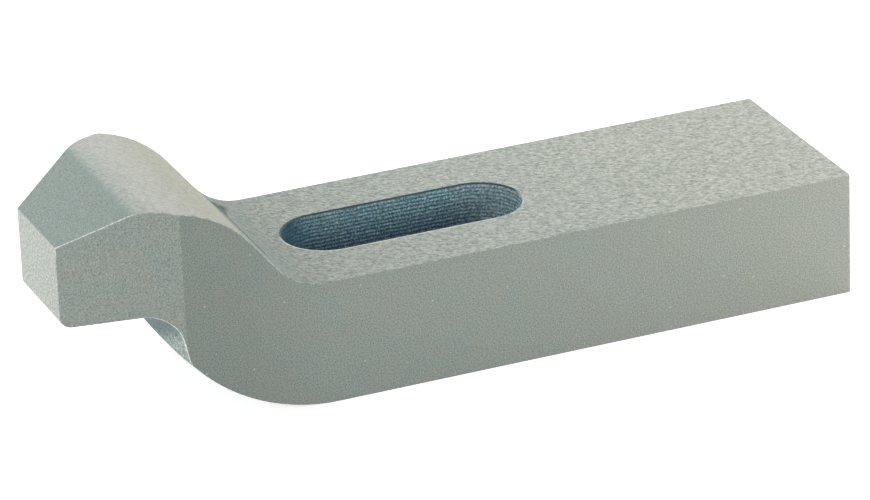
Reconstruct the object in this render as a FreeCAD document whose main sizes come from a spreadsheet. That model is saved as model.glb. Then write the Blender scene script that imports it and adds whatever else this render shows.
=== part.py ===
import FreeCAD, Part
import math
import os
import Sketcher
from FreeCAD import Placement, Rotation, Vector

# Goose-neck strap clamp, one solid steel bar, sizes in millimetres.
# The length runs along Y with the nose towards -Y, the seat lies on Z = 0,
# and the origin is the middle of the seat.

# Driving sizes
SIZES = {
    "bar_length": 160.0,
    "bar_width": 45.0,
    "bar_height": 25.0,
    "nose_width": 21.5,
    "crease_land": 0.56,
    "crest_height": 45.1,
    "crest_setback": 16.0,
    "crest_front_radius": 7.8,
    "crest_back_radius": 23.7,
    "front_slope": 28.2,
    "back_slope": 51.3,
    "foot_radius": 12.0,
    "nose_height": 20.9,
    "nose_slope": 10.2,
    "nose_tip_radius": 1.8,
    "recess_radius": 5.6,
    "recess_wall_lean": 13.9,
    "recess_wall_setback": 25.0,
    "knuckle_radius": 38.2,
    "lip_drop": 4.07,
    "knuckle_crown": 1.0,
    "lip_radius": 3.3,
    "slot_width": 18.0,
    "slot_length": 49.3,
    "slot_land": 0.3,
    "mouth_break": 0.25,
    "rim_break": 0.3,
    "corner_break": 0.9,
}

# Places that follow from the sizes above: the hump's foot behind the nose end,
# the centre of the recess arc, the taper, which ends on the recess wall just
# behind that arc, the lip a set drop below it, the knuckle's axis, which lies
# so that its arc meets the wall at the lip, and the turn from the seat to the
# recess
DERIVED = {
    "hump_foot": (
        "crest_setback + (crest_back_radius + foot_radius) * sin(back_slope)"
        " + (crest_height - bar_height"
        " - (crest_back_radius + foot_radius) * (1 - cos(back_slope))) / tan(back_slope)"
    ),
    "recess_level": (
        "(nose_height - recess_radius / cos(nose_slope)"
        " + (recess_wall_setback - recess_radius / cos(recess_wall_lean)) * tan(nose_slope))"
        " / (1 + tan(nose_slope) * tan(recess_wall_lean))"
    ),
    "recess_setback": (
        "recess_wall_setback - recess_radius / cos(recess_wall_lean)"
        " - recess_level * tan(recess_wall_lean)"
    ),
    "taper_length": "recess_setback + recess_radius * cos(recess_wall_lean) + crease_land",
    "lip_height": "recess_level - lip_drop",
    "knuckle_setback": (
        "recess_wall_setback - lip_height * tan(recess_wall_lean)"
        " + sqrt(2 * knuckle_radius * lip_height - lip_height^2)"
    ),
    "knuckle_sweep": (
        "atan((knuckle_setback - recess_setback) / (knuckle_radius - recess_level))"
    ),
}

CUT_MARGIN = 4.0
MODEL_TOLERANCE = 1e-4

doc = FreeCAD.newDocument("StrapClamp")
sheet = doc.addObject("Spreadsheet::Sheet", "Sizes")
for row, (alias, value) in enumerate(SIZES.items(), start=1):
    sheet.set(f"A{row}", alias)
    sheet.set(f"B{row}", str(value))
    sheet.setAlias(f"B{row}", alias)
for row, (alias, formula) in enumerate(DERIVED.items(), start=len(SIZES) + 1):
    sheet.set(f"A{row}", alias)
    sheet.set(f"B{row}", "=" + formula)
    sheet.setAlias(f"B{row}", alias)
doc.recompute()


def size(alias):
    value = sheet.get(alias)
    return float(getattr(value, "Value", value))


body = doc.addObject("PartDesign::Body", "strap_clamp")
body.Label = "strap_clamp"


def origin_plane(role):
    for feature in body.Origin.OriginFeatures:
        if feature.Role == role:
            return feature
    raise ValueError(role)


def new_sketch(name, role):
    sketch = body.newObject("Sketcher::SketchObject", name)
    sketch.AttachmentSupport = [(origin_plane(role), "")]
    sketch.MapMode = "FlatFace"
    return sketch


def drive(sketch, name, constraint, expression):
    # one constraint whose value follows the sheet
    index = sketch.addConstraint(constraint)
    sketch.renameConstraint(index, name)
    sketch.setExpression(f"Constraints.{name}", expression)


def on_circle(centre, radius, degrees):
    angle = math.radians(degrees)
    return centre + Vector(radius * math.cos(angle), radius * math.sin(angle), 0)


def arc(centre, radius, start_degrees, end_degrees):
    circle = Part.Circle(centre, Vector(0, 0, 1), radius)
    return Part.ArcOfCircle(circle, math.radians(start_degrees), math.radians(end_degrees))


def check_feature(feature, before, sign):
    # a feature that adds or removes nothing has gone the wrong way
    doc.recompute()
    change = feature.Shape.Volume - before
    if sign * change <= MODEL_TOLERANCE:
        raise RuntimeError(f"{feature.Name} changed the volume by {change:.4f}")
    return feature.Shape.Volume


# Side profile: base, heel, nut seat, foot, hump, nose, recess and front wall
def side_profile():
    sketch = new_sketch("SideProfile", "YZ_Plane")
    nose_end = -size("bar_length") / 2
    heel = size("bar_length") / 2
    top = size("bar_height")
    crest = Vector(nose_end + size("crest_setback"), size("crest_height"), 0)
    back_radius = size("crest_back_radius")
    front_radius = size("crest_front_radius")
    foot_radius = size("foot_radius")
    back_slope = size("back_slope")
    front_slope = size("front_slope")
    nose_slope = size("nose_slope")
    lean = size("recess_wall_lean")
    tip_radius = size("nose_tip_radius")
    recess_radius = size("recess_radius")

    foot = Vector(nose_end + size("hump_foot"), top, 0)
    foot_centre = foot + Vector(0, foot_radius, 0)
    foot_end = on_circle(foot_centre, foot_radius, 270 - back_slope)
    back_centre = crest - Vector(0, back_radius, 0)
    back_start = on_circle(back_centre, back_radius, 90 - back_slope)
    front_centre = crest - Vector(0, front_radius, 0)
    front_end = on_circle(front_centre, front_radius, 90 + front_slope)
    slope_drop = (front_end.x - nose_end) * math.tan(math.radians(front_slope))
    brow = Vector(nose_end, front_end.y - slope_drop, 0)

    underside = Vector(nose_end, size("nose_height"), 0)
    rise = math.radians(nose_slope)
    tip_lift = tip_radius * (math.tan(rise) + 1 / math.cos(rise))
    tip_centre = underside + Vector(tip_radius, tip_lift, 0)
    tip_start = tip_centre - Vector(tip_radius, 0, 0)
    tip_end = on_circle(tip_centre, tip_radius, 270 + nose_slope)

    wall_foot = Vector(nose_end + size("recess_wall_setback"), 0, 0)
    recess_centre = Vector(nose_end + size("recess_setback"), size("recess_level"), 0)
    recess_start = on_circle(recess_centre, recess_radius, 90 + nose_slope)
    recess_end = on_circle(recess_centre, recess_radius, lean)

    base, rear, seat, foot_arc, back, crown_back, crown_front = range(7)
    slope, end_face, tip, under, recess, wall = range(7, 13)
    sketch.addGeometry([
        Part.LineSegment(wall_foot, Vector(heel, 0, 0)),
        Part.LineSegment(Vector(heel, 0, 0), Vector(heel, top, 0)),
        Part.LineSegment(Vector(heel, top, 0), foot),
        arc(foot_centre, foot_radius, 270 - back_slope, 270),
        Part.LineSegment(foot_end, back_start),
        arc(back_centre, back_radius, 90 - back_slope, 90),
        arc(front_centre, front_radius, 90, 90 + front_slope),
        Part.LineSegment(front_end, brow),
        Part.LineSegment(brow, tip_start),
        arc(tip_centre, tip_radius, 180, 270 + nose_slope),
        Part.LineSegment(tip_end, recess_start),
        arc(recess_centre, recess_radius, lean, 90 + nose_slope),
        Part.LineSegment(recess_end, wall_foot),
    ], False)

    start, end, centre = 1, 2, 3
    origin_point = (-1, 1)
    joints = [
        ("Coincident", base, end, rear, start),
        ("Coincident", rear, end, seat, start),
        ("Tangent", seat, end, foot_arc, end),
        ("Tangent", foot_arc, start, back, start),
        ("Tangent", back, end, crown_back, start),
        ("Tangent", crown_back, end, crown_front, start),
        ("Tangent", crown_front, end, slope, start),
        ("Coincident", slope, end, end_face, start),
        ("Tangent", end_face, end, tip, start),
        ("Tangent", tip, end, under, start),
        ("Tangent", under, end, recess, end),
        ("Tangent", recess, start, wall, start),
        ("Coincident", wall, end, base, start),
    ]
    for joint in joints:
        sketch.addConstraint(Sketcher.Constraint(*joint))
    sketch.addConstraint(Sketcher.Constraint("PointOnObject", base, start, -1))
    sketch.addConstraint(Sketcher.Constraint("Horizontal", base))
    sketch.addConstraint(Sketcher.Constraint("Vertical", rear))
    sketch.addConstraint(Sketcher.Constraint("Horizontal", seat))
    sketch.addConstraint(Sketcher.Constraint("Vertical", end_face))
    sketch.addConstraint(Sketcher.Constraint("Vertical", crown_back, centre, crown_back, end))

    def distance_x(first, second, value):
        return Sketcher.Constraint("DistanceX", *first, *second, value)

    def distance_y(first, second, value):
        return Sketcher.Constraint("DistanceY", *first, *second, value)

    drive(sketch, "heel_place", distance_x(origin_point, (rear, start), heel),
          "Sizes.bar_length / 2")
    drive(sketch, "nose_place", distance_x((end_face, start), origin_point, heel),
          "Sizes.bar_length / 2")
    drive(sketch, "seat_height", distance_y((rear, start), (rear, end), top),
          "Sizes.bar_height")
    drive(sketch, "crest_place",
          distance_x((end_face, start), (crown_back, end), crest.x - nose_end),
          "Sizes.crest_setback")
    drive(sketch, "crest_level", distance_y(origin_point, (crown_back, end), crest.y),
          "Sizes.crest_height")
    drive(sketch, "wall_place",
          distance_x((end_face, start), (wall, end), wall_foot.x - nose_end),
          "Sizes.recess_wall_setback")
    for name, index, value, expression in [
        ("foot_size", foot_arc, foot_radius, "Sizes.foot_radius"),
        ("back_size", crown_back, back_radius, "Sizes.crest_back_radius"),
        ("front_size", crown_front, front_radius, "Sizes.crest_front_radius"),
        ("tip_size", tip, tip_radius, "Sizes.nose_tip_radius"),
        ("recess_size", recess, recess_radius, "Sizes.recess_radius"),
    ]:
        drive(sketch, name, Sketcher.Constraint("Radius", index, value), expression)
    for name, index, degrees, expression in [
        ("back_angle", back, 180 - back_slope, "180 - Sizes.back_slope"),
        ("front_angle", slope, 180 + front_slope, "180 + Sizes.front_slope"),
        ("under_angle", under, nose_slope, "Sizes.nose_slope"),
        ("wall_angle", wall, lean - 90, "Sizes.recess_wall_lean - 90"),
    ]:
        drive(sketch, name, Sketcher.Constraint("Angle", index, math.radians(degrees)),
              expression)
    drive(sketch, "tip_level",
          distance_y(origin_point, (tip, centre), tip_centre.y),
          "Sizes.nose_height + Sizes.nose_tip_radius"
          " * (tan(Sizes.nose_slope) + 1 / cos(Sizes.nose_slope))")
    return sketch


profile = side_profile()
bar = body.newObject("PartDesign::Pad", "Bar")
bar.Profile = profile
bar.Midplane = True
bar.setExpression("Length", "Sizes.bar_width")
volume = check_feature(bar, 0.0, 1)


# The nose narrows in plan: one wedge is cut and mirrored
def taper_sketch():
    sketch = new_sketch("NoseTaper", "XY_Plane")
    nose_end = -size("bar_length") / 2
    inner = size("nose_width") / 2
    outer = size("bar_width") / 2
    crease = nose_end + size("taper_length")
    spread = (outer - inner) / size("taper_length")
    near = Vector(inner - spread * CUT_MARGIN, nose_end - CUT_MARGIN, 0)
    far = Vector(outer + spread * CUT_MARGIN, crease + CUT_MARGIN, 0)
    corner = Vector(far.x, near.y, 0)
    flank, floor_side, outside = range(3)
    sketch.addGeometry([
        Part.LineSegment(near, far),
        Part.LineSegment(corner, near),
        Part.LineSegment(far, corner),
    ], False)
    start, end = 1, 2
    origin_point = (-1, 1)
    sketch.addConstraint(Sketcher.Constraint("Coincident", flank, end, outside, start))
    sketch.addConstraint(Sketcher.Constraint("Coincident", outside, end, floor_side, start))
    sketch.addConstraint(Sketcher.Constraint("Coincident", floor_side, end, flank, start))
    sketch.addConstraint(Sketcher.Constraint("Horizontal", floor_side))
    sketch.addConstraint(Sketcher.Constraint("Vertical", outside))
    spread_text = "(Sizes.bar_width - Sizes.nose_width) / 2 / Sizes.taper_length"
    drive(sketch, "near_x",
          Sketcher.Constraint("DistanceX", *origin_point, flank, start, near.x),
          f"Sizes.nose_width / 2 - {CUT_MARGIN} * {spread_text}")
    drive(sketch, "near_y",
          Sketcher.Constraint("DistanceY", flank, start, *origin_point, -near.y),
          f"Sizes.bar_length / 2 + {CUT_MARGIN}")
    drive(sketch, "far_x",
          Sketcher.Constraint("DistanceX", *origin_point, flank, end, far.x),
          f"Sizes.bar_width / 2 + {CUT_MARGIN} * {spread_text}")
    drive(sketch, "far_y",
          Sketcher.Constraint("DistanceY", flank, end, *origin_point, -far.y),
          f"Sizes.bar_length / 2 - Sizes.taper_length - {CUT_MARGIN}")
    return sketch


taper = taper_sketch()
wedge = body.newObject("PartDesign::Pocket", "NoseFlank")
wedge.Profile = taper
wedge.Type = "ThroughAll"
wedge.Reversed = True
volume = check_feature(wedge, volume, -1)

flanks = body.newObject("PartDesign::Mirrored", "NoseFlanks")
flanks.Originals = [wedge]
flanks.MirrorPlane = (origin_plane("YZ_Plane"), [""])
body.Tip = flanks
volume = check_feature(flanks, volume, -1)


# Stud slot: a long hole through the bar, just behind the foot of the hump
def slot_sketch():
    sketch = new_sketch("StudSlot", "XY_Plane")
    radius = size("slot_width") / 2
    front = size("hump_foot") + size("slot_land") - size("bar_length") / 2
    front_centre = Vector(0, front + radius, 0)
    rear_centre = Vector(0, front + size("slot_length") - radius, 0)
    across = Vector(radius, 0, 0)
    front_end, right_side, rear_end, left_side = range(4)
    sketch.addGeometry([
        arc(front_centre, radius, 180, 360),
        Part.LineSegment(front_centre + across, rear_centre + across),
        arc(rear_centre, radius, 0, 180),
        Part.LineSegment(rear_centre - across, front_centre - across),
    ], False)
    start, end, centre = 1, 2, 3
    origin_point = (-1, 1)
    for joint in [
        ("Tangent", front_end, end, right_side, start),
        ("Tangent", right_side, end, rear_end, start),
        ("Tangent", rear_end, end, left_side, start),
        ("Tangent", left_side, end, front_end, start),
    ]:
        sketch.addConstraint(Sketcher.Constraint(*joint))
    sketch.addConstraint(Sketcher.Constraint("Vertical", right_side))
    sketch.addConstraint(Sketcher.Constraint("PointOnObject", front_end, centre, -2))
    sketch.addConstraint(Sketcher.Constraint("Equal", front_end, rear_end))
    drive(sketch, "end_radius", Sketcher.Constraint("Radius", front_end, radius),
          "Sizes.slot_width / 2")
    drive(sketch, "front_place",
          Sketcher.Constraint("DistanceY", front_end, centre, *origin_point, -front_centre.y),
          "Sizes.bar_length / 2 - Sizes.hump_foot - Sizes.slot_land - Sizes.slot_width / 2")
    drive(sketch, "run",
          Sketcher.Constraint("DistanceY", front_end, centre, rear_end, centre,
                              rear_centre.y - front_centre.y),
          "Sizes.slot_length - Sizes.slot_width")
    return sketch


stud_slot = slot_sketch()
slot = body.newObject("PartDesign::Pocket", "Slot")
slot.Profile = stud_slot
slot.Type = "ThroughAll"
slot.Reversed = True
volume = check_feature(slot, volume, -1)


# Knuckle: the front of the underside is turned about a crosswise axis.
# Its section bows outwards, so the middle stands proud of the flanks.
def knuckle_sketch():
    sketch = new_sketch("KnuckleSection", "XZ_Plane")
    sketch.AttachmentOffset = Placement(
        Vector(0, size("knuckle_radius"), size("bar_length") / 2 - size("knuckle_setback")),
        Rotation())
    sketch.setExpression("AttachmentOffset.Base.y", "Sizes.knuckle_radius")
    sketch.setExpression("AttachmentOffset.Base.z",
                         "Sizes.bar_length / 2 - Sizes.knuckle_setback")
    half_width = size("bar_width") / 2
    crown = size("knuckle_crown")
    crown_radius = (half_width**2 + crown**2) / (2 * crown)
    crown_centre = Vector(0, crown_radius - size("knuckle_radius") - crown, 0)
    reach = math.degrees(math.asin((half_width + CUT_MARGIN) / crown_radius))
    left = on_circle(crown_centre, crown_radius, 270 - reach)
    right = on_circle(crown_centre, crown_radius, 270 + reach)
    wall_gap = size("knuckle_setback") - size("recess_wall_setback")
    depth = -math.hypot(wall_gap, size("knuckle_radius")) - CUT_MARGIN
    bow, right_side, bottom, left_side = range(4)
    sketch.addGeometry([
        arc(crown_centre, crown_radius, 270 - reach, 270 + reach),
        Part.LineSegment(right, Vector(right.x, depth, 0)),
        Part.LineSegment(Vector(right.x, depth, 0), Vector(left.x, depth, 0)),
        Part.LineSegment(Vector(left.x, depth, 0), left),
    ], False)
    start, end, centre = 1, 2, 3
    origin_point = (-1, 1)
    for joint in [
        ("Coincident", bow, end, right_side, start),
        ("Coincident", right_side, end, bottom, start),
        ("Coincident", bottom, end, left_side, start),
        ("Coincident", left_side, end, bow, start),
        ("Vertical", right_side),
        ("Horizontal", bottom),
        ("Vertical", left_side),
        ("PointOnObject", bow, centre, -2),
        ("Equal", left_side, right_side),
    ]:
        sketch.addConstraint(Sketcher.Constraint(*joint))
    drive(sketch, "crown_size", Sketcher.Constraint("Radius", bow, crown_radius),
          "(Sizes.bar_width^2 / 4 + Sizes.knuckle_crown^2) / (2 * Sizes.knuckle_crown)")
    drive(sketch, "crown_place",
          Sketcher.Constraint("DistanceY", *origin_point, bow, centre, crown_centre.y),
          "(Sizes.bar_width^2 / 4 + Sizes.knuckle_crown^2) / (2 * Sizes.knuckle_crown)"
          " - Sizes.knuckle_radius - Sizes.knuckle_crown")
    drive(sketch, "half_span",
          Sketcher.Constraint("DistanceX", *origin_point, bottom, start, right.x),
          f"Sizes.bar_width / 2 + {CUT_MARGIN}")
    drive(sketch, "cut_depth",
          Sketcher.Constraint("DistanceY", bottom, start, *origin_point, -depth),
          "sqrt((Sizes.knuckle_setback - Sizes.recess_wall_setback)^2"
          f" + Sizes.knuckle_radius^2) + {CUT_MARGIN}")
    return sketch


knuckle_section = knuckle_sketch()
knuckle = body.newObject("PartDesign::Groove", "Knuckle")
knuckle.Profile = knuckle_section
knuckle.ReferenceAxis = (knuckle_section, ["H_Axis"])
knuckle.setExpression("Angle", "Sizes.knuckle_sweep")
knuckle.Reversed = True
check_feature(knuckle, volume, -1)


# Broken edges: the lip, the heel's upright corners, the rims and the slot's mouths
def edge_turn(shape, edge):
    # the angle in degrees between the outward normals of an edge's two faces
    faces = shape.ancestorsOfType(edge, Part.Face)
    if len(faces) != 2:
        return 0.0
    middle = edge.valueAt((edge.FirstParameter + edge.LastParameter) / 2)
    normals = []
    for face in faces:
        u, v = face.Surface.parameter(middle)
        normals.append(face.normalAt(u, v))
    return math.degrees(normals[0].getAngle(normals[1]))


def edge_names(shape, wanted):
    return [f"Edge{number}" for number, edge in enumerate(shape.Edges, start=1)
            if wanted(edge)]


def dress(kind, name, base, names, dimension, expression):
    feature = body.newObject(kind, name)
    feature.Base = (base, names)
    feature.setExpression(dimension, expression)
    check_feature(feature, base.Shape.Volume, -1)
    return feature


def is_lip(edge):
    box = edge.BoundBox
    wall_place = size("recess_wall_setback") - size("bar_length") / 2
    return (box.XLength > size("bar_width") - 2 * CUT_MARGIN
            and box.YMax < wall_place and box.ZMin > CUT_MARGIN
            and box.ZMax < size("recess_level") and box.ZLength > MODEL_TOLERANCE)


lip = dress("PartDesign::Fillet", "Lip", knuckle, edge_names(knuckle.Shape, is_lip),
            "Radius", "Sizes.lip_radius")

heel_place = size("bar_length") / 2


def is_heel_corner(edge):
    box = edge.BoundBox
    return (abs(box.YMin - heel_place) < MODEL_TOLERANCE
            and box.ZLength > size("bar_height") - MODEL_TOLERANCE)


heel_corners = dress("PartDesign::Fillet", "HeelCorners", lip,
                     edge_names(lip.Shape, is_heel_corner),
                     "Radius", "Sizes.corner_break")

SHARP_TURN = 45.0


def in_slot(edge):
    box = edge.BoundBox
    return max(abs(box.XMin), abs(box.XMax)) < size("slot_width") / 2 + MODEL_TOLERANCE


def is_rim(edge):
    # the top's outline, and every sharp edge of the nose in front of the creases
    box = edge.BoundBox
    crease_place = size("taper_length") - size("bar_length") / 2
    above = box.ZMin > size("bar_height") - MODEL_TOLERANCE
    on_nose = box.YMax < crease_place + MODEL_TOLERANCE
    return ((above or on_nose) and not in_slot(edge)
            and edge_turn(heel_corners.Shape, edge) > SHARP_TURN)


rims = dress("PartDesign::Fillet", "Rims", heel_corners,
             edge_names(heel_corners.Shape, is_rim),
             "Radius", "Sizes.rim_break")


def is_slot_mouth(edge):
    return in_slot(edge) and edge.BoundBox.ZLength < MODEL_TOLERANCE


mouths = dress("PartDesign::Chamfer", "SlotMouths", rims,
               edge_names(rims.Shape, is_slot_mouth),
               "Size", "Sizes.mouth_break")
body.Tip = mouths
doc.recompute()

# The finished solid is checked and written
for sketch in (profile, taper, stud_slot, knuckle_section):
    if not sketch.FullyConstrained:
        raise RuntimeError(f"{sketch.Name} has a free degree")
for item in doc.Objects:
    if "Invalid" in item.State or "Error" in item.State:
        raise RuntimeError(f"{item.Name}: {item.State}")
    shape = getattr(item, "Shape", None)
    if item.isDerivedFrom("PartDesign::Feature") and (shape.isNull() or not shape.isValid()):
        raise RuntimeError(f"{item.Name}: the shape is not valid")
if len(body.Shape.Solids) != 1:
    raise RuntimeError(f"{body.Label} is not one solid")

os.makedirs("parts", exist_ok=True)
body.Shape.exportStep(f"parts/{body.Label}.step")
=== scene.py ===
import math

import bmesh
import bpy
from mathutils import Matrix, Vector


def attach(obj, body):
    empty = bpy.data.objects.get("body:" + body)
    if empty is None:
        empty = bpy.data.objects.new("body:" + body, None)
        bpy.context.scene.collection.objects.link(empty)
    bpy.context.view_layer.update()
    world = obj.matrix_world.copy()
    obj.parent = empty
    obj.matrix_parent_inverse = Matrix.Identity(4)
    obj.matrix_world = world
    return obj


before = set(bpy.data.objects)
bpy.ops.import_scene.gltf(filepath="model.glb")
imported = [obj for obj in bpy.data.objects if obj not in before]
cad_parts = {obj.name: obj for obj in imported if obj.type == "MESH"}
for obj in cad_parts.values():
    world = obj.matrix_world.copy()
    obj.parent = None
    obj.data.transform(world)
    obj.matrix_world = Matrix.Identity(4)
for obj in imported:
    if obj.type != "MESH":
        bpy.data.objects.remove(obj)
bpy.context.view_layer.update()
MM = 0.001

scene = bpy.context.scene
scene.view_settings.view_transform = "Standard"


# Camera: angles in degrees, lengths in millimetres
IMAGE_WIDTH = 870
VIEW_AZIMUTH = 22.16
VIEW_ELEVATION = 23.76
VIEW_ROLL = -2.24
VIEW_DISTANCE = 1069.89
AIM_SHIFT = (0.67, 1.45)
AIM_HEIGHT = 15.0
FOCAL_PIXELS = 5498.0
SENSOR_WIDTH = 36.0


def add_camera():
    az = math.radians(VIEW_AZIMUTH)
    el = math.radians(VIEW_ELEVATION)
    roll = math.radians(VIEW_ROLL)
    back = Vector((math.cos(az) * math.cos(el), -math.sin(az) * math.cos(el), math.sin(el)))
    right = (-back).cross(Vector((0, 0, 1))).normalized()
    up = right.cross(-back)
    x_axis = right * math.cos(roll) + up * math.sin(roll)
    y_axis = up * math.cos(roll) - right * math.sin(roll)
    place = back * VIEW_DISTANCE + x_axis * AIM_SHIFT[0] + y_axis * AIM_SHIFT[1]
    place = (place + Vector((0, 0, AIM_HEIGHT))) * MM
    turn = Matrix((x_axis, y_axis, back)).transposed().to_4x4()
    data = bpy.data.cameras.new("camera")
    data.sensor_width = SENSOR_WIDTH
    data.lens = FOCAL_PIXELS * SENSOR_WIDTH / IMAGE_WIDTH
    data.clip_start = 0.05
    data.clip_end = 20
    camera = bpy.data.objects.new("camera", data)
    camera.matrix_world = Matrix.Translation(place) @ turn
    scene.collection.objects.link(camera)
    scene.camera = camera


add_camera()


# Node helpers
class Nodes:
    """Short names for the shader nodes of one tree; values are sockets or numbers."""

    def __init__(self, tree):
        self.tree = tree
        tree.nodes.clear()

    def add(self, kind, **values):
        node = self.tree.nodes.new(kind)
        for name, value in values.items():
            setattr(node, name, value)
        return node

    def link(self, source, target):
        self.tree.links.new(source, target)

    def feed(self, socket, value):
        if isinstance(value, bpy.types.NodeSocket):
            self.link(value, socket)
        else:
            socket.default_value = value

    def math(self, operation, first, second=0.0):
        node = self.add("ShaderNodeMath", operation=operation)
        self.feed(node.inputs[0], first)
        self.feed(node.inputs[1], second)
        return node.outputs[0]

    def product(self, first, *others):
        for other in others:
            first = self.math("MULTIPLY", first, other)
        return first

    def mix(self, factor, first, second):
        node = self.add("ShaderNodeMix", data_type="RGBA")
        self.feed(node.inputs["Factor"], factor)
        self.feed(node.inputs[6], first)
        self.feed(node.inputs[7], second)
        return node.outputs[2]

    def split(self, vector):
        node = self.add("ShaderNodeSeparateXYZ")
        self.link(vector, node.inputs[0])
        return node.outputs

    def noise(self, vector, scale, detail=2.0, roughness=0.5, distortion=0.0):
        node = self.add("ShaderNodeTexNoise")
        self.link(vector, node.inputs["Vector"])
        node.inputs["Scale"].default_value = scale
        node.inputs["Detail"].default_value = detail
        node.inputs["Roughness"].default_value = roughness
        node.inputs["Distortion"].default_value = distortion
        return node.outputs["Fac"]

    def stretch(self, vector, scale, turn=0.0):
        # turned about Z first, in degrees, and then scaled
        turned = self.add("ShaderNodeVectorRotate", rotation_type="Z_AXIS")
        self.link(vector, turned.inputs["Vector"])
        turned.inputs["Angle"].default_value = math.radians(turn)
        node = self.add("ShaderNodeMapping")
        self.link(turned.outputs["Vector"], node.inputs["Vector"])
        node.inputs["Scale"].default_value = scale
        return node.outputs["Vector"]

    def ramp(self, value, low, high):
        # 0 at low, 1 at high, and held beyond them
        node = self.add("ShaderNodeMapRange")
        self.feed(node.inputs["Value"], value)
        node.inputs["From Min"].default_value = low
        node.inputs["From Max"].default_value = high
        return node.outputs["Result"]

    def band(self, value, low, high, soft):
        # 1 between low and high, falling to 0 over the soft width outside
        return self.product(self.ramp(value, low - soft, low), self.ramp(value, high + soft, high))

    def bump(self, height, strength, depth, normal=None):
        # depth in millimetres
        node = self.add("ShaderNodeBump")
        self.link(height, node.inputs["Height"])
        node.inputs["Strength"].default_value = strength
        node.inputs["Distance"].default_value = depth * MM
        if normal is not None:
            self.link(normal, node.inputs["Normal"])
        return node.outputs["Normal"]

    def output(self, shader, kind="ShaderNodeOutputMaterial"):
        self.link(shader.outputs[0], self.add(kind).inputs[0])

    def coat(self, colour, normal, roughness, specular):
        shader = self.add("ShaderNodeBsdfPrincipled")
        self.link(colour, shader.inputs["Base Color"])
        self.link(normal, shader.inputs["Normal"])
        shader.inputs["Metallic"].default_value = 0.0
        shader.inputs["Roughness"].default_value = roughness
        shader.inputs["Specular IOR Level"].default_value = specular
        self.output(shader)


def new_material(name):
    material = bpy.data.materials.new(name)
    material.use_nodes = True
    return material, Nodes(material.node_tree)


def srgb(red, green, blue):
    # an sRGB colour of 0 to 255 as linear values
    def linear(value):
        value /= 255
        return value / 12.92 if value <= 0.04045 else ((value + 0.055) / 1.055) ** 2.4
    return (linear(red), linear(green), linear(blue), 1.0)


# The slot's middle line and radius, in millimetres
SLOT_RADIUS = 9.0
SLOT_FRONT = -21.454
SLOT_REAR = 9.846


class Surface:
    """Where a point lies on the part, in millimetres, and which way it faces."""

    def __init__(self, nodes):
        self.nodes = nodes
        place = nodes.add("ShaderNodeTexCoord").outputs["Object"]
        self.place = nodes.stretch(place, (1 / MM, 1 / MM, 1 / MM))
        self.x, self.y, self.z = nodes.split(self.place)
        normal = nodes.add("ShaderNodeNewGeometry").outputs["Normal"]
        self.nx, self.ny, self.nz = nodes.split(normal)

    def slot_distance(self):
        # distance from the slot's middle line
        nodes = self.nodes
        middle = (SLOT_FRONT + SLOT_REAR) / 2
        reach = (SLOT_REAR - SLOT_FRONT) / 2
        along = nodes.math("ABSOLUTE", nodes.math("SUBTRACT", self.y, middle))
        beyond = nodes.math("MAXIMUM", nodes.math("SUBTRACT", along, reach), 0.0)
        squares = nodes.math("ADD", nodes.product(beyond, beyond), nodes.product(self.x, self.x))
        return nodes.math("SQRT", squares)


# The clamp's matt grey-green finish, with painted light and shade over it
GRAIN_TURN = 22.0
PEEL_DEPTH = 0.08
DIMPLE_DEPTH = 0.34
# where the painted shade in the crease lies and how wide it is, in millimetres
FOOT_SHADE_LINE = -38.0
CREASE_SHADE_WIDTH = 0.4
NOTCH_SHADE_WIDTH = 1.5
# the colour of the painted highlights on edges
EDGE_HIGHLIGHT = srgb(252, 254, 250)


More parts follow.
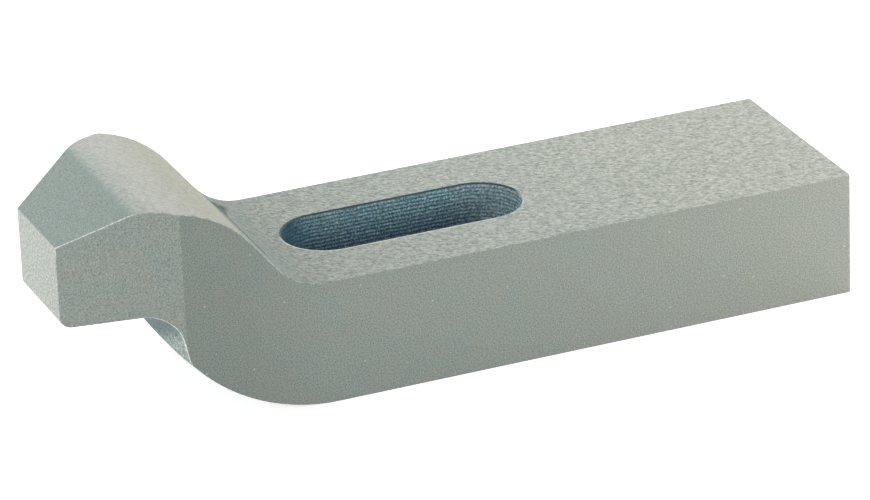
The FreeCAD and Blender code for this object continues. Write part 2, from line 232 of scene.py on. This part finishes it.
class FinishAndLight:
    """The finish and the painted light and shade as one body colour, tinted layer by layer where
    masks are 1.
    """

    def __init__(self, nodes):
        self.nodes = nodes
        self.at = Surface(nodes)
        self.from_slot = self.at.slot_distance()
        self.upward = nodes.ramp(self.at.nz, 0.3, 0.7)

        # fine orange peel on the sides and the front slope, coarser dimples on the top
        self.dimpled = nodes.product(self.upward, nodes.ramp(self.at.ny, -0.45, -0.3))
        self.peel = nodes.noise(self.at.place, 3.6, 2.0, 0.6)
        dimple_place = nodes.stretch(self.at.place, (1.9, 1.1, 1.9), GRAIN_TURN)
        self.dimples = nodes.noise(dimple_place, 1.0, 2.5, 0.6, 0.6)
        cloud = nodes.noise(self.at.place, 0.16, 3.0, 0.6)
        self.body = nodes.mix(nodes.ramp(cloud, 0.36, 0.64),
                              srgb(155, 172, 166), srgb(163, 173, 163))

    def tint(self, colour, *masks):
        self.body = self.nodes.mix(self.nodes.product(*masks), self.body, colour)

    def heel(self):
        # warmer towards the heel, and painted light: a little paler on its top
        heel = self.nodes.ramp(self.at.y, 10.0, 90.0)
        self.tint(srgb(187, 183, 163), heel, 0.58)
        self.tint(srgb(240, 242, 230), heel, self.upward, 0.13)

    def grain(self):
        # darker in the hollows of the texture and paler on its tops
        nodes = self.nodes
        texture = nodes.mix(self.dimpled, self.peel, nodes.math("ADD", self.dimples, 0.02))
        contrast = nodes.math("ADD", 0.42, nodes.product(self.upward, 0.16))
        hollows = nodes.mix(contrast, self.body, srgb(96, 108, 104))
        tops = nodes.mix(contrast, self.body, srgb(222, 224, 216))
        self.body = nodes.mix(nodes.ramp(texture, 0.32, 0.68), hollows, tops)

    def nose(self):
        # the end face is coarsely speckled, and painted shade makes the side of the neck a little
        # darker
        nodes, at = self.nodes, self.at
        coarse = nodes.noise(nodes.stretch(at.place, (1.5, 1.5, 2.2)), 1.0, 3.0, 0.75)
        hollows = nodes.mix(0.55, self.body, srgb(110, 120, 116))
        tops = nodes.mix(0.5, self.body, srgb(232, 232, 226))
        speckled = nodes.mix(nodes.ramp(coarse, 0.36, 0.64), hollows, tops)
        self.tint(speckled, nodes.ramp(at.ny, -0.7, -0.9))
        neck_shade = nodes.product(nodes.ramp(at.nx, 0.93, 0.98), nodes.ramp(at.y, -30.0, -48.0))
        self.tint(srgb(100, 110, 104), neck_shade, 0.16)

    def goose_neck_light_and_shade(self):
        # painted light: the front slope painted cooler and darker as shade, the crest paler as a
        # highlight, and the back of the crest warmer and darker as shade
        nodes, at = self.nodes, self.at
        self.tint(srgb(136, 164, 164), self.upward, nodes.ramp(at.ny, -0.2, -0.4), 0.3)
        crest_highlight = nodes.product(nodes.ramp(at.ny, -0.42, -0.22), nodes.ramp(at.ny, 0.9, 0.2),
                              nodes.ramp(at.z, 31.0, 38.0), self.upward)
        crest_highlight_colour = nodes.mix(nodes.ramp(at.ny, -0.3, 0.05),
                                 srgb(208, 226, 218), srgb(218, 217, 212))
        self.tint(crest_highlight_colour, crest_highlight, 0.46)
        nape_shade = nodes.product(nodes.ramp(at.ny, 0.1, 0.5), nodes.ramp(at.z, 26.5, 34.0),
                             self.upward)
        self.tint(srgb(152, 146, 122), nape_shade, 0.42)

    def foot_shade(self):
        # painted shade: darker where the hump meets the flat, and a fainter painted shade fading
        # along the flat
        nodes, at = self.nodes, self.at
        valley_shade = nodes.product(nodes.band(at.y, -41.0, -35.2, 6.0),
                               nodes.band(at.z, 24.9, 29.0, 5.0), self.upward)
        self.tint(srgb(100, 114, 110), valley_shade, 0.56)
        fore_shade = nodes.product(nodes.ramp(at.y, 6.0, -16.0), nodes.ramp(at.z, 30.0, 27.0),
                             self.upward)
        self.tint(srgb(100, 114, 112), fore_shade, 0.1)

    def crease_shade(self):
        # painted shade: a dark line in the crease where the flat begins, widening to a dark notch
        # of shade near its far end
        nodes, at = self.nodes, self.at
        rugged = nodes.math("SUBTRACT", nodes.noise(at.place, 1.3, 3.0, 0.7), 0.5)
        widening = nodes.ramp(at.x, -11.0, -17.0)
        wander = nodes.product(rugged, nodes.math("ADD", 0.7, widening))
        beyond = nodes.math("SUBTRACT", nodes.math("ADD", at.y, wander),
                            FOOT_SHADE_LINE - CREASE_SHADE_WIDTH / 2)
        width = nodes.math("ADD", CREASE_SHADE_WIDTH, nodes.product(widening, NOTCH_SHADE_WIDTH))
        across = nodes.math("DIVIDE", beyond, width)
        end_place = nodes.math("ADD", at.x, nodes.product(rugged, 5.0))
        shade_line = nodes.product(nodes.band(across, 0.0, 1.0, 0.6),
                             nodes.ramp(end_place, -19.4, -16.9), nodes.ramp(at.x, 14.0, 9.0),
                             nodes.band(at.z, 26.0, 30.5, 1.0))
        strength = nodes.math("ADD", 0.56, nodes.product(widening, 0.35))
        self.tint(srgb(32, 48, 56), shade_line, strength)

    def throat_light_and_shade(self):
        # painted shade under the nose, blue-grey, and painted light making it pale towards its
        # near lower corner
        nodes, at = self.nodes, self.at
        inside = nodes.product(nodes.ramp(nodes.math("ABSOLUTE", at.nx), 0.6, 0.4),
                               nodes.ramp(at.ny, -0.1, -0.3),
                               nodes.band(at.y, -76.0, -45.0, 1.0),
                               nodes.ramp(at.z, 24.0, 23.4))
        rising = nodes.product(nodes.math("SUBTRACT", at.z, 15.0), 2.5)
        shade = nodes.ramp(nodes.math("SUBTRACT", at.x, rising), 14.5, 7.0)
        streaks = nodes.noise(nodes.stretch(at.place, (1.5, 1.5, 2.6)), 1.0, 3.0, 0.8)
        lit_streaks = nodes.mix(nodes.ramp(streaks, 0.4, 0.6), srgb(82, 106, 100), srgb(204, 217, 209))
        shaded_streaks = nodes.mix(nodes.ramp(streaks, 0.38, 0.62), srgb(54, 84, 94), srgb(132, 152, 152))
        self.tint(nodes.mix(shade, lit_streaks, shaded_streaks), inside, 0.9)
        # a painted highlight along the lip's near edge
        self.tint(EDGE_HIGHLIGHT, inside, nodes.ramp(at.x, 21.8, 22.2), nodes.ramp(streaks, 0.4, 0.5))

    def edge_highlights(self):
        # painted highlights: pale on the small roundings where a side meets another face, and
        # broken
        nodes, at = self.nodes, self.at
        side = nodes.math("ABSOLUTE", at.nx)
        rounding = nodes.product(nodes.ramp(side, 0.12, 0.3), nodes.ramp(side, 0.84, 0.76),
                                 nodes.ramp(self.from_slot, SLOT_RADIUS + 0.6, SLOT_RADIUS + 1.0))
        # stronger painted highlights on the near rim of the front slope and on the lip
        slope_rim = nodes.product(nodes.ramp(at.y, -65.0, -68.0), nodes.ramp(at.z, 35.0, 37.0),
                                  nodes.ramp(at.x, 6.0, 9.0))
        lip = nodes.product(nodes.band(at.y, -71.0, -57.0, 0.5),
                            nodes.band(at.z, 12.0, 23.8, 0.5), nodes.ramp(at.x, 5.0, 8.0))
        grains = nodes.ramp(nodes.noise(at.place, 3.0, 1.0, 0.5), 0.4, 0.56)
        patchy = nodes.math("ADD", 0.35, nodes.product(grains, 0.65))
        strong = nodes.product(nodes.math("MAXIMUM", slope_rim, lip), patchy)
        unevenness = nodes.ramp(nodes.noise(at.place, 1.1, 4.0, 0.75), 0.42, 0.6)
        upper = nodes.product(unevenness, nodes.ramp(at.nz, 0.1, 0.3), 0.5)
        self.tint(EDGE_HIGHLIGHT, rounding, nodes.math("MAXIMUM", upper, strong))

    def slot_mouth(self):
        # painted shade, dark on the far side, and a painted highlight, a pale thread of light on
        # the near side
        nodes, at = self.nodes, self.at
        mouth = nodes.ramp(self.from_slot, SLOT_RADIUS + 0.30, SLOT_RADIUS + 0.24)
        far_side = nodes.ramp(at.x, 2.0, -2.0)
        self.tint(srgb(48, 72, 80), mouth, far_side, 0.85)
        thread = nodes.product(nodes.ramp(self.from_slot, SLOT_RADIUS + 0.60, SLOT_RADIUS + 0.45),
                               nodes.ramp(at.y, 14.0, 4.0))
        near_side = nodes.math("SUBTRACT", 1.0, far_side)
        highlight_mask = nodes.product(nodes.math("MAXIMUM", mouth, thread), near_side, self.upward)
        self.tint(srgb(250, 252, 248), highlight_mask, 0.6)

    def specks(self):
        # a few pale specks, scattered over all faces
        nodes = self.nodes
        cells = nodes.add("ShaderNodeTexVoronoi")
        nodes.link(self.at.place, cells.inputs["Vector"])
        cells.inputs["Scale"].default_value = 0.22
        chosen = nodes.ramp(nodes.split(cells.outputs["Color"])[0], 0.72, 0.75)
        speck = nodes.ramp(cells.outputs["Distance"], 0.055, 0.03)
        self.tint(srgb(224, 230, 222), speck, chosen, 0.6)

    def relief(self):
        # the fine peel on all faces, and the deeper dimples over it on the top
        fine = self.nodes.bump(self.peel, 0.6, PEEL_DEPTH)
        return self.nodes.bump(self.nodes.product(self.dimples, self.dimpled), 0.9,
                               DIMPLE_DEPTH, fine)


def clamp_steel():
    material, nodes = new_material("clamp_steel")
    finish_and_light = FinishAndLight(nodes)
    finish_and_light.heel()
    finish_and_light.grain()
    finish_and_light.nose()
    finish_and_light.goose_neck_light_and_shade()
    finish_and_light.foot_shade()
    finish_and_light.crease_shade()
    finish_and_light.throat_light_and_shade()
    finish_and_light.edge_highlights()
    finish_and_light.slot_mouth()
    finish_and_light.specks()
    nodes.coat(finish_and_light.body, finish_and_light.relief(), roughness=0.65, specular=0.18)
    return material


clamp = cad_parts["strap_clamp"]
clamp.data.materials.clear()
clamp.data.materials.append(clamp_steel())


# The slot's milled wall: dark blue-green, with painted highlights as broken pale lines along the
# ridges
RIDGE_PITCH = 0.77
RIDGE_SHIFT = 0.31
RIDGE_HEIGHT = 0.13
RIDGE_FADE = -26.0
RIDGE_FADE_LENGTH = 6.0


def milled_wall():
    material, nodes = new_material("milled_wall")
    at = Surface(nodes)
    grain = nodes.noise(at.place, 2.0, 2.0, 0.65)
    drift = nodes.noise(at.place, 0.35, 2.0, 0.5)

    # darker and bluer with depth, teal at the smooth front end, and painted light making it pale
    # at the rear end
    depth = nodes.ramp(at.z, 24.5, 15.5)
    wall = nodes.mix(depth, srgb(134, 192, 208), srgb(16, 62, 106))
    greener = nodes.mix(0.4, wall, srgb(84, 136, 136))
    wall = nodes.mix(nodes.ramp(drift, 0.42, 0.62), wall, greener)
    front = nodes.ramp(at.y, RIDGE_FADE + RIDGE_FADE_LENGTH, RIDGE_FADE)
    wall = nodes.mix(nodes.product(front, 0.7), wall, srgb(46, 98, 114))
    rear_light = nodes.ramp(at.y, 6.0, 15.0)
    wall = nodes.mix(nodes.product(rear_light, 0.85), wall, srgb(180, 214, 222))

    # painted shade in the grooves between the ridges, and painted highlights: broken pale lines on
    # their crests and pale glints
    phase = nodes.product(nodes.math("ADD", at.z, RIDGE_SHIFT), math.pi / RIDGE_PITCH)
    sway = nodes.product(nodes.math("SUBTRACT", drift, 0.5), 2.0)
    wave = nodes.math("ABSOLUTE", nodes.math("COSINE", nodes.math("ADD", phase, sway)))
    wall = nodes.mix(nodes.product(nodes.ramp(wave, 0.55, 0.15), 0.45), wall, srgb(22, 44, 60))
    long_noise = nodes.noise(nodes.stretch(at.place, (1.3, 1.3, 2.2)), 2.6, 3.0, 0.85)
    crest_highlights = nodes.product(nodes.ramp(wave, 0.74, 0.94), nodes.ramp(long_noise, 0.48, 0.54))
    glint_highlights = nodes.product(nodes.ramp(nodes.noise(at.place, 3.1, 1.0, 0.6), 0.6, 0.68), 0.8)
    ridged = nodes.math("SUBTRACT", 1.0, front)
    fading = nodes.math("SUBTRACT", 1.0, nodes.product(depth, 0.6))
    highlight_mask = nodes.product(nodes.math("MAXIMUM", crest_highlights, glint_highlights), ridged, fading)
    body = nodes.mix(highlight_mask, wall, srgb(240, 255, 255))

    body = nodes.mix(nodes.ramp(grain, 0.38, 0.62), nodes.mix(0.65, body, srgb(12, 28, 44)), body)
    nodes.coat(body, nodes.bump(grain, 0.5, PEEL_DEPTH), roughness=0.5, specular=0.5)
    return material


# Milled ridges: a thin liner on the slot's wall, its back set into the bar
LINER_BACK = 0.3
LINER_FRONT = 0.02
LINER_LOW = 0.35
LINER_HIGH = 24.70
STEPS_ROUND = 44
STEPS_ALONG = 84
STEPS_PER_RIDGE = 6


def slot_outline():
    # around the slot: the end centre's or straight wall's Y place and the outward direction
    points = []
    straight = SLOT_REAR - SLOT_FRONT
    for step in range(STEPS_ROUND):
        points.append((SLOT_FRONT, math.pi + math.pi * step / STEPS_ROUND))
    for step in range(STEPS_ALONG):
        points.append((SLOT_FRONT + straight * step / STEPS_ALONG, 2 * math.pi))
    for step in range(STEPS_ROUND):
        points.append((SLOT_REAR, math.pi * step / STEPS_ROUND))
    for step in range(STEPS_ALONG):
        points.append((SLOT_REAR - straight * step / STEPS_ALONG, math.pi))
    return [(centre, Vector((math.cos(angle), math.sin(angle), 0)))
            for centre, angle in points]


def ridge_reach(index, centre, out, z):
    # how far the liner stands out; the ridges die out towards the slot's front end
    y = centre + SLOT_RADIUS * out.y
    grown = min(max((y - RIDGE_FADE) / RIDGE_FADE_LENGTH, 0), 1)
    turns = (z + RIDGE_SHIFT) / RIDGE_PITCH
    wave = abs(math.cos(math.pi * turns))
    ridge = round(turns)
    # each ridge is worn unevenly along the wall
    unevenness = 0.6 + 0.4 * math.sin(index * 1.3 + ridge * 2.4) * math.sin(index * 0.37 + ridge * 1.7)
    return LINER_FRONT + RIDGE_HEIGHT * grown * unevenness * wave ** 3


def slot_ridges():
    outline = slot_outline()
    total = len(outline)
    height = LINER_HIGH - LINER_LOW
    count = int(height / RIDGE_PITCH * STEPS_PER_RIDGE)
    levels = [LINER_LOW + height * i / count for i in range(count + 1)]
    mesh = bmesh.new()

    def ring(z, reaches):
        return [mesh.verts.new((Vector((0, centre, z)) + out * (SLOT_RADIUS - reach)) * MM)
                for (centre, out), reach in zip(outline, reaches)]

    back = [-LINER_BACK] * total
    rings = [ring(levels[0], back)]
    for z in levels:
        rings.append(ring(z, [ridge_reach(index, centre, out, z)
                              for index, (centre, out) in enumerate(outline)]))
    rings.append(ring(levels[-1], back))
    for low, high in zip(rings, rings[1:] + rings[:1]):
        for index in range(total):
            after = (index + 1) % total
            mesh.faces.new((low[index], low[after], high[after], high[index]))
    bmesh.ops.recalc_face_normals(mesh, faces=mesh.faces)
    data = bpy.data.meshes.new("slot_ridges")
    mesh.to_mesh(data)
    mesh.free()
    for face in data.polygons:
        face.use_smooth = True
    data.materials.append(milled_wall())
    piece = bpy.data.objects.new("slot_ridges", data)
    scene.collection.objects.link(piece)
    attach(piece, "root")


slot_ridges()


# Floor and white surroundings
WHITE = (1, 1, 1, 1)
FLOOR_COLOUR = (0.86, 0.86, 0.86, 1)
FLOOR_HALF = 3.0
FLOOR_DROP = 0.02
FLOOR_GLOW = 0.7
SURROUND_LIGHT = 0.3


def seen_white(nodes):
    # 1 for rays that show the white background: camera, glossy and transmitted
    path = nodes.add("ShaderNodeLightPath")
    seen = nodes.math("MAXIMUM", path.outputs["Is Camera Ray"], path.outputs["Is Glossy Ray"])
    return nodes.math("MAXIMUM", seen, path.outputs["Is Transmission Ray"])


def white_floor():
    material, nodes = new_material("floor_white")
    shader = nodes.add("ShaderNodeBsdfDiffuse")
    shader.inputs["Color"].default_value = FLOOR_COLOUR
    glow = nodes.add("ShaderNodeEmission")
    glow.inputs["Color"].default_value = WHITE
    nodes.link(nodes.product(seen_white(nodes), FLOOR_GLOW), glow.inputs["Strength"])
    both = nodes.add("ShaderNodeAddShader")
    nodes.link(shader.outputs[0], both.inputs[0])
    nodes.link(glow.outputs[0], both.inputs[1])
    nodes.output(both)
    corners = [(-FLOOR_HALF, -FLOOR_HALF, 0), (FLOOR_HALF, -FLOOR_HALF, 0),
               (FLOOR_HALF, FLOOR_HALF, 0), (-FLOOR_HALF, FLOOR_HALF, 0)]
    data = bpy.data.meshes.new("floor")
    data.from_pydata(corners, [], [(0, 1, 2, 3)])
    data.materials.append(material)
    floor = bpy.data.objects.new("floor", data)
    floor.location.z = -FLOOR_DROP * MM
    scene.collection.objects.link(floor)


def surroundings():
    world = bpy.data.worlds.new("surroundings")
    scene.world = world
    world.use_nodes = True
    nodes = Nodes(world.node_tree)
    white = nodes.add("ShaderNodeBackground")
    white.inputs["Color"].default_value = WHITE
    white.inputs["Strength"].default_value = 1.0
    ambient = nodes.add("ShaderNodeBackground")
    ambient.inputs["Color"].default_value = WHITE
    ambient.inputs["Strength"].default_value = SURROUND_LIGHT
    mixer = nodes.add("ShaderNodeMixShader")
    nodes.link(seen_white(nodes), mixer.inputs[0])
    nodes.link(ambient.outputs[0], mixer.inputs[1])
    nodes.link(white.outputs[0], mixer.inputs[2])
    nodes.output(mixer, "ShaderNodeOutputWorld")


def softbox(name, place, aim, width, height, power, colour=(1, 1, 1)):
    # place, aim and size in metres, power in watts
    data = bpy.data.lights.new(name, "AREA")
    data.shape = "RECTANGLE"
    data.size = width
    data.size_y = height
    data.energy = power
    data.color = colour
    lamp = bpy.data.objects.new(name, data)
    lamp.location = place
    direction = Vector(aim) - Vector(place)
    lamp.rotation_euler = direction.to_track_quat("-Z", "Y").to_euler()
    scene.collection.objects.link(lamp)


white_floor()
surroundings()
softbox("key_far_rear", (-0.45, 0.40, 0.40), (0, 0, 0.02), 0.30, 0.30, 3.05, (1.0, 0.98, 0.94))
softbox("far_side", (-0.16, -0.03, 0.14), (0, -0.02, 0.03), 0.16, 0.10, 0.085)
softbox("front", (0.10, -0.62, 0.30), (0, -0.04, 0.02), 0.35, 0.25, 1.15)
softbox("nose_low", (-0.06, -0.25, 0.014), (0, -0.08, 0.027), 0.24, 0.024, 0.17)
softbox("side_rear", (0.22, 0.20, 0.12), (0.02, 0.06, 0.01), 0.16, 0.12, 0.335)
